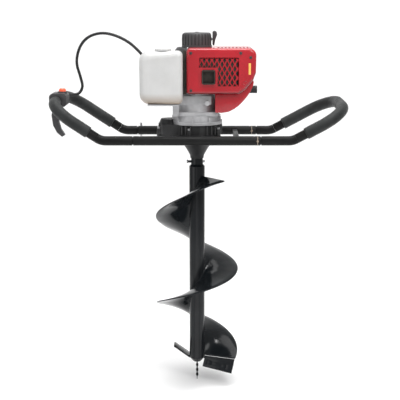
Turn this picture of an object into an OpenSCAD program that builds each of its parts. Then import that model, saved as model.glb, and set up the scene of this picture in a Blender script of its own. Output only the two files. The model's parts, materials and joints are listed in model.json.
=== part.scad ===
// Petrol auger: helical bit, geared engine head and a two-hand tubular frame.
// Z runs up the drive axis, X to the right grip, Y to the rear. The pilot tip is at the origin.

/* [Frame] */
// outside diameter of the frame tubes
tube_d = 22; // [20:1:23]
// wall of the frame tubes
tube_wall = 2; // [1.5:0.1:2.5]
// distance between the two rails
rail_gap = 195; // [193:1:197]
// outside diameter of the foam grips
foam_d = 28; // [26:1:29]
// straight length replaced by half of each right handle bend
bend_t = 10; // [9:1:11]

/* [Bit] */
// outside diameter of the helical flight
flight_d = 203; // [190:1:206]
// outside diameter of the bit tube
bit_tube_d = 38; // [36:1:40]
// mean rise of the flight in one turn
flight_pitch = 246; // [240:1:250]
// how far the middle turn sinks below an even rise
flight_dip = 50; // [0:1:55]

/* [Engine] */
// outside diameter of the ribbed recoil cover
recoil_d = 72; // [71:1:74]
// thickness of the moulded shroud walls
shell = 2; // [1.6:0.1:2.4]

/* [Part] */

/* [Hidden] */
$fn = 48;

black = [0.14, 0.14, 0.14];
foam_c = [0.19, 0.2, 0.2];
red = [0.68, 0.13, 0.18];
alloy = [0.6, 0.6, 0.61];
steel = [0.5, 0.5, 0.52];
bit_c = [0.05, 0.06, 0.07];

tube_r = tube_d / 2;
bore_r = tube_r - tube_wall;
rail_y = rail_gap / 2;
head_lift = 40;        // height of the head's datum above the ground
rail_z = 585;          // height of the rail centres above that datum
rail_x = 148;          // half length of a rail
bend_x = 223;          // where a front handle leg turns upward
bend_r = 40;           // radius of that bend
right = [bend_t, 72, 70];      // half bend, front leg and end curve of the right handle
left = [bend_t + 2, 77, 63];   // the same for the left handle
lag = 33;              // extra length of a rear leg, which turns up nearer the middle
foam_u = 34;           // where the foam starts on a sloping leg
spigot_x = 118;        // inner end of a handle's spigot
pins = [[-133, -1], [133, -1], [133, 1], [-141, 1]];   // X and side of each joint pin

// gear train
teeth_big = 46;
teeth_small = 14;
gear_c = 50;           // centre distance of both stages
gear_m = 2 * gear_c / (teeth_big + teeth_small);
slack = 0.16;          // side clearance of each tooth flank

// heights of the head above its datum
pin_z = 521;           // height of the pin that locks the bit
case_bot = 568;
case_seam = 591;
case_top = 615;
flange_top = 637;
crank_top = 738;
cyl_z = 696;           // height of the cylinder axis
shroud_x = -24;        // left face of the shroud
shroud_top = 797;
recoil_top = 831;

// lifts the head from its datum to its place over the bit
module at_head() {
    translate([0, 0, head_lift]) children();
}

// rounded rectangle made of squares and circles
module rrect(x0, x1, y0, y1, r) {
    translate([x0 + r, y0]) square([x1 - x0 - 2 * r, y1 - y0]);
    translate([x0, y0 + r]) square([x1 - x0, y1 - y0 - 2 * r]);
    for (x = [x0 + r, x1 - r], y = [y0 + r, y1 - r]) translate([x, y]) circle(r);
}

// block seen from the front: X and Z outline, drawn from y0 to y1
module slab(y0, y1) {
    translate([0, y1, 0]) rotate([90, 0, 0]) linear_extrude(y1 - y0) children();
}

module rod_x(x0, x1, r) {
    translate([x0, 0, 0]) rotate([0, 90, 0]) cylinder(h = x1 - x0, r = r);
}

module rod_y(y0, y1, r) {
    translate([0, y0, 0]) rotate([-90, 0, 0]) cylinder(h = y1 - y0, r = r);
}

module ring(r, hole, h) {
    difference() {
        cylinder(h = h, r = r);
        translate([0, 0, -1]) cylinder(h = h + 2, r = hole);
    }
}

// ---------- frame ----------
module pin_holes() {
    for (p = pins) translate([p[0], p[1] * rail_y, rail_z - 20]) cylinder(h = 40, r = 3);
}

module rail(side) {
    difference() {
        translate([0, side * rail_y, rail_z]) rod_x(-rail_x, rail_x, tube_r);
        translate([0, side * rail_y, rail_z]) rod_x(-rail_x - 1, rail_x + 1, bore_r);
        pin_holes();
    }
}

module front_rail() { at_head() color(black) rail(-1); }

module rear_rail() { at_head() color(black) rail(1); }

module rail_space() {
    for (y = [-rail_y, rail_y]) translate([0, y, rail_z]) rod_x(-200, 200, tube_r);
}

module cross_bar() {
    at_head() color(black) difference() {
        translate([88, -rail_y, rail_z - 4]) cube([12, rail_gap, 8]);
        rail_space();
    }
}

module carrier_plate() {
    at_head() color(black) difference() {
        translate([-58, -rail_y, rail_z - 10]) cube([116, rail_gap, 6]);
        rail_space();
        translate([0, 0, case_bot]) linear_extrude(20) case_outline(0);
    }
}

function slope(h) = 2 * atan(h[0] / bend_r);
function skew(h) = round(10 * lag / cos(slope(h))) / 10;
function twist(h) = atan(skew(h) * sin(slope(h)) / rail_gap);
function span(h) = norm([rail_gap, skew(h) * sin(slope(h))]);
function leg_x(h, s) = bend_x - (s > 0 ? skew(h) : 0);

// places a part on a sloping leg: X along the leg, Y toward the other leg
module on_leg(h, s) {
    translate([leg_x(h, s), s * rail_y, rail_z]) rotate([0, -slope(h), 0]) rotate([twist(h), 0, 0])
        mirror([0, s > 0 ? 1 : 0, 0]) children();
}

// one sloping leg, its end curve and its half of the cross tube, less a gap at the middle
module loop_half(h, s, r, u0, gap) {
    u = h[1] + (s > 0 ? lag : 0);
    on_leg(h, s) {
        rod_x(u0, u, r);
        translate([u, h[2], 0]) rotate([0, 0, -90]) rotate_extrude(angle = 90) translate([h[2], 0]) circle(r);
        translate([u + h[2], 0, 0]) rod_y(h[2], span(h) / 2 - gap, r);
    }
}

// the straight part, which starts at x0, and the bend
module handle_root(h, s, r, x0) {
    x1 = leg_x(h, s) - h[0];
    translate([0, s * rail_y, rail_z]) rod_x(x0, x1, r);
    translate([x1, s * rail_y, rail_z + bend_r]) rotate([90, 0, 0]) rotate([0, 0, -90])
        rotate_extrude(angle = slope(h)) translate([bend_r, 0]) circle(r);
}

// each half is a root and a loop, butted end to end; side is -1 for the left handle
module handle_tube(h, side) {
    for (s = [-1, 1]) {
        difference() {
            mirror([side < 0 ? 1 : 0, 0, 0]) difference() {
                union() {
                    handle_root(h, s, tube_r, rail_x + 2);
                    translate([0, s * rail_y, rail_z]) rod_x(spigot_x, rail_x + 3, bore_r - 0.05);
                }
                handle_root(h, s, bore_r - 2, spigot_x - 1);
            }
            pin_holes();
        }
        mirror([side < 0 ? 1 : 0, 0, 0]) difference() {
            loop_half(h, s, tube_r, h[0] + 0.2, 0.1);
            loop_half(h, s, bore_r, h[0] - 1, -1);
        }
    }
}

module right_handle_tube() { at_head() color(black) handle_tube(right, 1); }

module left_handle_tube() { at_head() color(black) handle_tube(left, -1); }

module foam(h, gap) {
    for (s = [-1, 1]) difference() {
        loop_half(h, s, foam_d / 2, foam_u, gap);
        loop_half(h, s, tube_r, foam_u - 1, gap - 1);
    }
}

module right_grip() { at_head() color(foam_c) foam(right, 0.1); }

module left_grip() { at_head() color(foam_c) mirror([1, 0, 0]) foam(left, 30); }

module handle_pins() {
    at_head() color(steel) {
        for (p = pins) translate([p[0], p[1] * rail_y, rail_z - 10.6]) cylinder(h = 21.2, r = 3);
        translate([pins[3][0], rail_y, rail_z]) for (m = [0, 1]) mirror([0, 0, m])
            translate([0, 0, 10.6]) cylinder(h = 9 - 5 * m, r = 3);
    }
}

// ---------- gearbox ----------
module case_outline(grow) {
    circle(54 + grow);
    translate([-gear_c, 0]) circle(43 + grow);
    translate([-gear_c, -30]) square([gear_c, 60]);
}

module case_space() {
    circle(41.5);
    translate([-gear_c, 0]) circle(41);
}

case_boss_xy = [[50, 32], [50, -32], [-18, 54], [-18, -54], [-91, 17], [-91, -17]];

module case_bosses(h) {
    for (p = case_boss_xy) translate(p) cylinder(h = h, r = 5.5);
}

module case_holes() {
    for (p = case_boss_xy) translate([p[0], p[1], 0]) {
        translate([0, 0, case_bot - 5]) cylinder(h = 80, r = 2.5);
        translate([0, 0, case_seam + 13]) cylinder(h = 50, r = 4.9);
    }
}

module gearbox_upper() {
    at_head() color(black) difference() {
        union() {
            translate([0, 0, case_seam]) linear_extrude(case_top - case_seam) case_outline(0);
            translate([0, 0, case_seam]) case_bosses(13);
            for (a = [-66:11:66]) rotate([0, 0, a]) translate([50, -1.5, case_seam + 1]) cube([11, 3, 21]);
            for (a = [233, 244, 255]) rotate([0, 0, a])
                translate([50, -1.5, case_seam + 1]) cube([11, 3, 21]);
            translate([-64, 0, case_top - 1]) cylinder(h = 12, r1 = 28, r2 = 23);
        }
        translate([0, 0, case_seam - 1]) linear_extrude(case_top - 5 - case_seam + 1) case_space();
        translate([0, 0, case_top - 6]) cylinder(h = 8, r = 16);
        translate([-gear_c, 0, case_top - 6]) cylinder(h = 14, r = 11);
        translate([0, 0, case_top]) cylinder(h = 40, r = 61);
        case_holes();
    }
}

module gearbox_lower() {
    at_head() color(black) difference() {
        union() {
            translate([0, 0, case_bot]) linear_extrude(case_seam - case_bot) case_outline(0);
            translate([0, 0, case_seam - 10]) case_bosses(10);
            rotate_extrude() polygon([[0, 530], [16, 530], [17, 537], [21, 545], [27, 555], [36, 568],
                [36, 572], [0, 572]]);
        }
        translate([0, 0, case_bot + 5]) linear_extrude(40) case_space();
        translate([0, 0, 540]) cylinder(h = 40, r = 16);
        translate([0, 0, 525]) cylinder(h = 40, r = 12);
        translate([-gear_c, 0, case_bot + 2]) cylinder(h = 10, r = 11);
        case_holes();
    }
}

module gearbox_bolts() {
    at_head() color(steel) for (p = case_boss_xy) translate([p[0], p[1], 0]) {
        translate([0, 0, case_seam - 10]) cylinder(h = 23, r = 2.45);
        translate([0, 0, case_seam + 13]) cylinder(h = 4, r = 4.4);
    }
}

module bearings() {
    at_head() color(steel) {
        translate([0, 0, 540]) ring(16, 11.55, 12);
        translate([0, 0, case_top - 5]) ring(16, 6.05, 5);
        translate([-gear_c, 0, case_bot + 2]) ring(11, 6.05, 5);
        translate([-gear_c, 0, case_top - 5]) ring(11, 6.05, 5);
        translate([0, 0, flange_top]) ring(16, 8.05, 8);
        translate([0, 0, crank_top - 6]) ring(16, 8.05, 6);
    }
}

// involute gear: flank points from the base or root circle to the tip
function inv(a) = tan(a) * 180 / PI - a;
function flank(rb, r, half, s) =
    let (a = r > rb ? acos(rb / r) : 0, w = s * (half - inv(a))) [r * cos(w), r * sin(w)];
function tooth(n, i, side) =
    let (rp = gear_m * n / 2, rb = rp * cos(20), rr = rp - 1.1 * gear_m, rt = rp + 0.8 * gear_m,
        half = 90 / n - slack / rp * 180 / PI + inv(20), r0 = max(rb, rr + 0.05),
        rs = [for (k = [0:4]) r0 + (rt - r0) * k / 4],
        up = concat([[rr * cos(half), -rr * sin(half)]], [for (r = rs) flank(rb, r, half, -1)]),
        dn = concat([for (k = [4:-1:0]) flank(rb, rs[k], half, 1)], [[rr * cos(half), rr * sin(half)]]),
        c = cos(360 * i / n + side), s = sin(360 * i / n + side))
    [for (p = concat(up, dn)) [p[0] * c - p[1] * s, p[0] * s + p[1] * c]];

module gear(n, h, side) {
    linear_extrude(h) polygon([for (i = [0:n - 1]) each tooth(n, i, side)]);
}

module clutch_drum() {
    at_head() color(steel) {
        translate([0, 0, 597]) gear(teeth_small, 11, 180 / teeth_small);
        translate([0, 0, 608]) cylinder(h = 10, r = 6);
        translate([0, 0, 618]) difference() {
            cylinder(h = 14.5, r = 40);
            translate([0, 0, 3]) cylinder(h = 20, r = 37);
        }
    }
}

module countershaft() {
    at_head() color(steel) translate([-gear_c, 0, 0]) {
        translate([0, 0, 570.5]) cylinder(h = 44, r = 6);
        translate([0, 0, 598]) gear(teeth_big, 9, 0);
        translate([0, 0, 577]) gear(teeth_small, 14, 180 / teeth_small);
    }
}

module output_gear() {
    at_head() color(steel) difference() {
        translate([0, 0, 578]) gear(teeth_big, 12, 0);
        translate([0, 0, 570]) cylinder(h = 30, r = 11.5);
    }
}

module output_shaft() {
    at_head() color(steel) difference() {
        union() {
            translate([0, 0, 470]) cylinder(h = 121, r = 11.5);
            translate([0, 0, 553]) cylinder(h = 4, r = 13.5);
        }
        translate([-30, 0, pin_z]) rod_x(0, 60, 3);
    }
}

// ---------- engine ----------
module clutch_housing() {
    at_head() color(alloy) difference() {
        union() {
            translate([0, 0, case_top]) cylinder(h = 8, r = 61);
            translate([0, 0, case_top]) cylinder(h = flange_top - case_top, r = 55);
            for (a = [20:40:340]) rotate([0, 0, a]) translate([54, -2, case_top]) cube([6, 4, 19]);
        }
        translate([0, 0, case_top - 1]) cylinder(h = 20, r = 43);
        translate([0, 0, case_top - 1]) cylinder(h = 30, r = 16);
    }
}

module crankcase() {
    at_head() color(alloy) difference() {
        union() {
            translate([0, 0, flange_top]) cylinder(h = crank_top - flange_top, r = 46);
            translate([0, 0, flange_top]) linear_extrude(9) rrect(-57, 50, -52, 40, 8);
            translate([0, 0, 664]) linear_extrude(20) rrect(-48, 36, -46, 30, 4);
            translate([0, 0, cyl_z]) rod_x(30, 52, 30);
            translate([0, 0, cyl_z]) rod_x(-58, -30, 15);
            translate([24, 0, 668]) rod_y(-56, -30, 6);
        }
        translate([0, 0, flange_top + 8]) cylinder(h = crank_top - flange_top - 14, r = 39);
        translate([0, 0, flange_top - 1]) cylinder(h = crank_top, r = 16);
        translate([0, 0, cyl_z]) rod_x(20, 60, 22);
        translate([0, 0, cyl_z]) rod_x(-70, -20, 8);
    }
}

module cylinder_barrel() {
    at_head() color(alloy) difference() {
        union() {
            translate([0, 0, cyl_z]) {
                rod_x(34, 52, 21.9);
                rod_x(52, 98, 24);
                for (x = [56:6:86]) rod_x(x, x + 2.2, 27);
            }
            translate([71, 0, cyl_z + 4]) rod_y(-30, -20, 8.5);
        }
        translate([0, 0, cyl_z]) rod_x(30, 86, 19.05);
        translate([0, 0, cyl_z]) rod_x(80, 100, 5);
        translate([71, 0, cyl_z + 4]) rod_y(-31, -17, 6);
    }
}

module piston() {
    at_head() color(alloy) translate([0, 0, cyl_z]) difference() {
        rod_x(58, 82, 19);
        rod_x(57, 77, 16);
    }
}

module spark_plug() {
    at_head() color(steel) translate([0, 0, cyl_z]) {
        rod_x(87, 98, 5);
        translate([98, 0, 0]) rotate([0, 90, 0]) cylinder(h = 8, r = 9, $fn = 6);
        rod_x(106, 122, 4);
    }
}

module plug_boot() {
    at_head() color(black) translate([0, 0, cyl_z]) difference() {
        union() {
            rod_x(108, 144, 9);
            translate([134, 0, 0]) rod_y(0, 24, 5);
        }
        rod_x(107, 122, 4);
    }
}

module muffler() {
    at_head() color(steel) {
        slab(-80, -62) rrect(6, 94, 699, 771, 8);
        translate([71, 0, cyl_z + 4]) difference() { rod_y(-62, -30, 9); rod_y(-63, -29, 6); }
    }
}

module outlet(in) {
    translate([12 + in, 715 + in]) square([30 - 2 * in, 32 - 2 * in]);
}

module exhaust_outlet() {
    at_head() color(black) slab(-95, -80) difference() {
        outlet(0);
        outlet(2);
    }
}

module outlet_collar() {
    at_head() color(red) slab(-87, -84) difference() {
        rrect(7, 47, 710, 752, 3);
        outlet(0);
    }
}

// front outline of the shroud, inset by a wall
module shroud_outline(in) {
    difference() {
        rrect(shroud_x + in, 138 - in, 691 - in, shroud_top - in, 12 - in);
        polygon([[139 - in, 744], [137 - in, 740], [131 - in, 724], [113 - in, 702], [97 - in, 691 - in],
            [97 - in, 680], [160, 680], [160, 744]]);
    }
}

module grille_window(grow) {
    rrect(5 - grow, 97 + grow, 709 - grow, 776 + grow, 3 + grow);
}

module shroud() {
    at_head() color(red) difference() {
        slab(-84, 64) shroud_outline(0);
        slab(-84 + shell, 64 - shell) shroud_outline(shell);
        slab(-84 + shell, 64 - shell) polygon([[shroud_x + shell, 680], [97 - shell, 680], [113 - shell, 702],
            [127, 721], [shroud_x + shell, 721]]);
        slab(-90, -80) grille_window(0);
        translate([0, 0, 680]) cylinder(h = 66, r = 46.5);
        translate([0, 0, 745]) cylinder(h = 48, r = 56);
        translate([0, 0, shroud_top - 10]) cylinder(h = 20, r = 31);
        for (x = [48:8.5:125]) translate([x, -66, shroud_top - 8]) cube([4.5, 44, 20]);
        translate([0, 0, cyl_z]) rod_x(104, 160, 11);
        translate([134, 0, cyl_z]) rod_y(-6, 40, 7);
    }
}

mesh_w = 12;           // width of one diamond of the grille
mesh_a = 63;           // steepness of its strands

module mesh_grille() {
    at_head() color(red) slab(-84, -82.6) difference() {
        union() {
            difference() { grille_window(0); grille_window(-3); }
            intersection() {
                grille_window(-1);
                for (a = [-mesh_a, mesh_a], k = [-11:11]) translate([51 + k * mesh_w, 742]) rotate(a)
                    translate([-60, -0.9]) square([120, 1.8]);
            }
        }
        outlet(0);
    }
}

module duct_outline(in) {
    polygon([[43 + in, 690 + in], [43 + in, 647 + in], [58, 646 + in], [74 - in / 2, 648.5 + in],
        [87 - in, 655 + in], [98 - in, 663 + in], [108 - in, 673 + in], [118 - in, 685 + in],
        [126 - in, 697 + in / 2], [131 - in, 709], [133 - in, 717], [132 - in, 722 + in], [130, 721.5 + in],
        [113, 700.6 + in], [97, 689.6 + in]]);
}

module lower_duct() {
    at_head() color(red) difference() {
        slab(-62, 46) duct_outline(0);
        slab(-62 + shell, 46 - shell) duct_outline(shell);
        translate([0, 0, 600]) cylinder(h = 200, r = 46.2);
        translate([40, -31, 649]) cube([30, 62, 60]);
        translate([0, 0, cyl_z]) rod_x(90, 160, 11);
        translate([134, 0, cyl_z]) rod_y(-6, 40, 7);
    }
}

module fan_cover() {
    at_head() color(black) difference() {
        union() {
            translate([0, 0, 745]) cylinder(h = 35, r = 60);
            translate([0, 0, 780]) cylinder(h = 16, r1 = 60, r2 = 47);
        }
        translate([0, 0, 744]) cylinder(h = 35, r = 56);
        translate([0, 0, 778.99]) cylinder(h = 14, r1 = 56, r2 = 44);
        translate([shroud_x, -100, 700]) cube([200, 200, 200]);
    }
}

module recoil_housing() {
    at_head() color(black) difference() {
        union() {
            translate([0, 0, shroud_top]) cylinder(h = recoil_top - shroud_top - 4, r = recoil_d / 2 - 2.5);
            translate([0, 0, recoil_top - 4.01]) cylinder(h = 4.01, r1 = recoil_d / 2 - 2.5, r2 = 28);
            translate([0, 0, shroud_top]) cylinder(h = 4, r = recoil_d / 2);
            for (a = [22.5:7.5:337.5]) rotate([0, 0, a])
                translate([recoil_d / 2 - 6, -1.2, shroud_top + 3]) cube([6, 2.4, 25]);
        }
        difference() {
            translate([0, 0, shroud_top - 1]) cylinder(h = 31, r = 29.5);
            translate([0, 0, 807]) cylinder(h = 30, r = 5);
        }
        translate([0, 0, 815]) rod_x(20, 60, 3);
    }
}

module recoil_pulley() {
    at_head() color(steel) translate([0, 0, 809]) difference() {
        union() {
            cylinder(h = 3, r = 27);
            cylinder(h = 14, r = 16);
            translate([0, 0, 11]) cylinder(h = 3, r = 27);
        }
        translate([0, 0, -1]) cylinder(h = 20, r = 5.06);
    }
}

module starter_rope() {
    at_head() color([0.8, 0.8, 0.76]) {
        for (r = [18, 22], z = [814, 818])
            translate([0, 0, z]) rotate_extrude() translate([r, 0]) circle(1.9);
    }
}

module starter_handle() {
    at_head() color(black) {
        slab(-14, 14) polygon([[37, 802], [41, 800], [43.5, 814], [48, 826], [46.5, 833], [41, 835],
            [37, 832]]);
        translate([0, 0, 815]) rod_x(31, 38, 1.9);
    }
}

module carburettor() {
    at_head() color(alloy) difference() {
        union() {
            translate([-100, -16, 686]) cube([36, 32, 34]);
            translate([0, 0, cyl_z]) rod_x(-64, -58, 15);
            translate([-84, 0, 714]) cylinder(h = 12, r = 7);
        }
        translate([0, 0, cyl_z]) rod_x(-101, -57, 8);
        translate([-84, 0, 720]) cylinder(h = 8, r = 3.8);
        translate([-90, 0, cyl_z + 12]) rod_y(10, 20, 2.06);
    }
}

module choke_lever() {
    at_head() color(black) translate([-90, 0, cyl_z + 12]) {
        rod_y(11, 17, 2);
        rod_y(16.3, 19, 6);
        translate([-3, 16.3, 0]) cube([6, 2.7, 26]);
        translate([0, 0, 26]) rod_y(16.3, 24, 4);
    }
}

module air_cleaner() {
    at_head() color(black) difference() {
        translate([0, 0, 674]) linear_extrude(62) rrect(-132, -100, -38, 38, 8);
        translate([0, 0, cyl_z]) rod_x(-112, -99, 8);
        for (y = [-30:6:30]) translate([-134, y - 1.5, 682]) cube([4, 3, 44]);
    }
}

module tank_shape(in) {
    intersection() {
        slab(-104 + in, -48 - in) rrect(-133 + in, -33 - in, 669 + in, 791 - in, 22 - in);
        linear_extrude(900) rrect(-133 + in, -33 - in, -104 + in, -48 - in, 20 - in);
    }
}

module fuel_tank() {
    at_head() color([0.87, 0.87, 0.87]) difference() {
        union() {
            tank_shape(0);
            translate([-78, -76, 784]) cylinder(h = 10, r = 15);
        }
        tank_shape(2.2);
        translate([-78, -76, 775]) cylinder(h = 30, r = 12);
    }
}

module fuel_cap() {
    at_head() color([0.8, 0.8, 0.8]) translate([-78, -76, 791.3]) difference() {
        union() {
            cylinder(h = 5, r = 18);
            for (a = [0:20:340]) rotate([0, 0, a]) translate([17, -1.4, 0]) cube([2, 2.8, 4]);
        }
        translate([0, 0, -1]) cylinder(h = 4.5, r = 15.06);
    }
}

module tank_bracket() {
    at_head() color(alloy) {
        translate([-114, -98, 665.5]) cube([72, 46, 3.5]);
        translate([-57, -57, 637]) cube([15, 5, 28.5]);
    }
}

module fuel_line() {
    at_head() color(black) translate([-84, 0, 694]) rod_y(-48, -16, 2.5);
}

// ---------- controls ----------
cross_u = left[1] + left[2];
cross_x = bend_x + cross_u * cos(slope(left)) - skew(left) * pow(sin(slope(left)), 2) / 2;
cross_z = rail_z + (cross_u + skew(left) * cos(slope(left)) / 2) * sin(slope(left));
lever_x = -cross_x - 7;
lever_z = cross_z - 23;
button_x = 11 - cross_x;

module throttle_housing() {
    at_head() color(alloy) difference() {
        union() {
            slab(-27, 27) rrect(-cross_x - 18, -cross_x + 24, cross_z - 15, cross_z + 17, 10);
            for (y = [-14, 9.4]) slab(y, y + 4.6) {
                translate([lever_x, lever_z]) circle(7);
                translate([lever_x - 7, lever_z]) square([14, 12]);
            }
            translate([button_x, 0, cross_z + 15]) cylinder(h = 5, r = 11.5);
        }
        mirror([1, 0, 0]) on_leg(left, -1)
            translate([cross_u, span(left) / 2, 0]) rod_y(-40, 40, tube_r + 0.1);
        translate([lever_x, 0, lever_z]) rod_y(-20, 20, 3.05);
        translate([button_x, 0, cross_z + 11.5]) cylinder(h = 20, r = 8.8);
    }
}

module stop_button() {
    at_head() color([0.92, 0.35, 0.24]) translate([button_x, 0, cross_z + 15]) {
        cylinder(h = 9, r = 8.7);
        translate([0, 0, 8.99]) cylinder(h = 3, r1 = 8.7, r2 = 6);
    }
}

module throttle_lever() {
    at_head() color(black) {
        slab(-9, 9) {
            translate([lever_x, lever_z]) circle(6.4);
            translate([lever_x, lever_z]) polygon([[-6, 2], [-9, -14], [-6, -38], [3, -56], [15, -66],
                [22, -62], [13, -48], [8, -30], [7, -10], [6, 2]]);
        }
        translate([lever_x, 0, lever_z]) rod_y(-14, 14, 3);
    }
}

// ---------- throttle cable ----------
cable_r = 3.5;
route = [[-314, 27.05, 680], [-303, 44, 679], [-290, 57, 682], [-282, 61, 698], [-286, 57, 722],
    [-293, 51, 753], [-289, 45, 781], [-276, 40, 806], [-255, 36, 822], [-226, 32, 828], [-195, 28, 822],
    [-166, 23, 808], [-146, 18, 792], [-130, 14, 776], [-111, 9, 758], [-93, 3, 742], [-84, 0, 732],
    [-84, 0, 721]];
function blend3(a, b, c, d, t) = 0.5 * (2 * b + (c - a) * t + (2 * a - 5 * b + 4 * c - d) * t * t
    + (3 * b - a - 3 * c + d) * t * t * t);
last = len(route) - 1;
steps = 4;
path = [for (i = [0:last - 1], k = [0:steps - 1]) blend3(route[max(i - 1, 0)], route[i], route[i + 1],
    route[min(i + 2, last)], k / steps), route[last]];
function unit(v) = v / norm(v);
function ring_at(i) =
    let (t = i == 0 ? [0, 1, 0] : unit(path[min(i + 1, len(path) - 1)] - path[i - 1]),
        a = unit(cross(t, [0.2, 1, 0.4])), b = cross(t, a))
    [for (k = [0:9]) path[i] + cable_r * (a * cos(36 * k) + b * sin(36 * k))];

module throttle_cable() {
    n = len(path);
    at_head() color(black) polyhedron([for (i = [0:n - 1]) each ring_at(i)], concat(
        [for (i = [0:n - 2], k = [0:9]) each [
            [10 * i + k, 10 * i + (k + 1) % 10, 10 * i + 10 + (k + 1) % 10],
            [10 * i + k, 10 * i + 10 + (k + 1) % 10, 10 * i + 10 + k]]],
        [[for (k = [9:-1:0]) k]], [[for (k = [0:9]) 10 * (n - 1) + k]]));
}

// ---------- rotating engine parts ----------
module crankshaft() {
    at_head() color(steel) {
        translate([0, 0, 622]) cylinder(h = 60, r = 8);
        for (z = [682, 702]) translate([0, 0, z]) cylinder(h = 8, r = 27);
        translate([14, 0, 689.9]) cylinder(h = 12.2, r = 6);
        translate([0, 0, 710]) cylinder(h = 82, r = 8);
    }
}

module flywheel() {
    at_head() color(alloy) difference() {
        union() {
            translate([0, 0, 750]) cylinder(h = 14, r = 16);
            translate([0, 0, 762]) cylinder(h = 16, r = 52);
            for (a = [0:30:330]) rotate([0, 0, a]) translate([26, -1.5, 777]) cube([20, 3, 10]);
            translate([0, 0, 777]) cylinder(h = 12, r = 20);
        }
        translate([0, 0, 740]) cylinder(h = 80, r = 8);
        translate([0, 0, 783]) cylinder(h = 30, r = 17);
    }
}

module clutch_rotor() {
    at_head() color(steel) translate([0, 0, 622]) difference() {
        cylinder(h = 9, r = 36.4);
        translate([0, 0, -1]) cylinder(h = 20, r = 8);
        for (a = [0, 180]) rotate([0, 0, a]) {
            translate([14, -40, -1]) cube([3, 80, 20]);
            translate([-1.5, 14, -1]) cube([3, 40, 20]);
        }
    }
}

// ---------- bit ----------
bit_r = bit_tube_d / 2;
flight_r = flight_d / 2;
flight_z = 80;         // height of the flight's lower end
flight_t = 3.4;        // thickness of the flight
flight_a0 = -20;       // angle of its lower end, from +X
flight_a1 = 670;       // angle of its upper end
flight_ease = 18;      // how much the upper end levels out
flight_step = 5;

module bit_tube() {
    color(bit_c) difference() {
        union() {
            translate([0, 0, 60]) cylinder(h = 490, r = bit_r);
            translate([0, 0, 549.99]) cylinder(h = 5, r1 = bit_r, r2 = 14.5);
            translate([0, 0, 550]) cylinder(h = 19.5, r = 14.5);
            translate([0, 0, 50]) cylinder(h = 10.01, r1 = 10, r2 = bit_r);
        }
        translate([0, 0, 68]) cylinder(h = 430, r = bit_r - 3);
        translate([0, 0, 497]) cylinder(h = 80, r = 11.5);
        translate([0, 0, pin_z + head_lift]) rod_x(-30, 30, 3);
        translate([0, 0, 40]) cylinder(h = 25, r = 3.3);
    }
}

function rise(a) = flight_z + flight_pitch * a / 360 - flight_dip * exp(-pow((a - 440) / 130, 2))
    - flight_ease * exp(-pow((a - 690) / 30, 2));
function flight_ring(a) = let (c = cos(a), s = sin(a), z = rise(a), i = bit_r + 0.04)
    [[i * c, i * s, z], [flight_r * c, flight_r * s, z], [flight_r * c, flight_r * s, z + flight_t],
        [i * c, i * s, z + flight_t]];

module bit_flight() {
    n = (flight_a1 - flight_a0) / flight_step;
    color(bit_c) polyhedron([for (k = [0:n]) each flight_ring(flight_a0 + k * flight_step)], concat(
        [for (k = [0:n - 1], j = [0:3]) each let (a = 4 * k + j, b = 4 * k + (j + 1) % 4) [
            [a, b, b + 4], [a, b + 4, a + 4]]],
        [[3, 2, 1, 0]], [[4 * n, 4 * n + 1, 4 * n + 2, 4 * n + 3]]));
}

// places a part on the flight's leading edge: X outward along the edge, Z down the cutter
module on_edge() {
    rotate([0, 0, flight_a0]) translate([0, 0, rise(flight_a0)]) rotate([-24, 7, 0]) children();
}

module main_cutter() {
    color(bit_c) on_edge() difference() {
        translate([16, -5, -26]) cube([83, 5, 26]);
        for (x = [38, 76]) translate([x, 0, -13]) rod_y(-6, 1, 3);
        translate([0, 0, -100]) cylinder(h = 200, r = bit_r + 4);
    }
}

module second_cutter() {
    color(bit_c) difference() {
        translate([-14, -4, 55]) rotate([0, 36, 0]) translate([-56, 0, 0]) cube([50, 30, 4]);
        translate([0, 0, 30]) cylinder(h = 60, r = bit_r + 0.02);
    }
}

module cutter_bolts() {
    color(steel) on_edge() for (x = [38, 76]) translate([x, 0, -13]) {
        rod_y(-8, -5, 5.5);
        rod_y(-6, 4, 2.95);
        rotate([-90, 0, 0]) cylinder(h = 4, r = 5, $fn = 6);
    }
}

module pilot_point() {
    color(bit_c) {
        translate([0, 0, 12]) cylinder(h = 53, r = 3.3);
        cylinder(h = 12.01, r1 = 0.6, r2 = 3.3);
    }
}

module bit_pin() {
    at_head() color(steel) {
        translate([0, 0, pin_z]) rod_x(-22, 19, 3);
        translate([0, 0, pin_z]) rod_x(-25, -22, 4.5);
    }
}

front_rail();
rear_rail();
cross_bar();
carrier_plate();
right_handle_tube();
left_handle_tube();
right_grip();
left_grip();
handle_pins();
gearbox_upper();
gearbox_lower();
gearbox_bolts();
bearings();
clutch_housing();
crankcase();
cylinder_barrel();
spark_plug();
plug_boot();
muffler();
exhaust_outlet();
outlet_collar();
shroud();
mesh_grille();
lower_duct();
fan_cover();
recoil_housing();
carburettor();
air_cleaner();
fuel_tank();
tank_bracket();
fuel_line();
throttle_housing();
throttle_cable();
fuel_cap();
stop_button();
throttle_lever();
choke_lever();
starter_handle();
recoil_pulley();
starter_rope();
crankshaft();
flywheel();
clutch_rotor();
piston();
clutch_drum();
countershaft();
output_gear();
output_shaft();
bit_tube();
bit_flight();
main_cutter();
second_cutter();
cutter_bolts();
pilot_point();
bit_pin();
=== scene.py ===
import json
import math
import random

import bmesh
import bpy
from mathutils import Matrix, Vector

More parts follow.
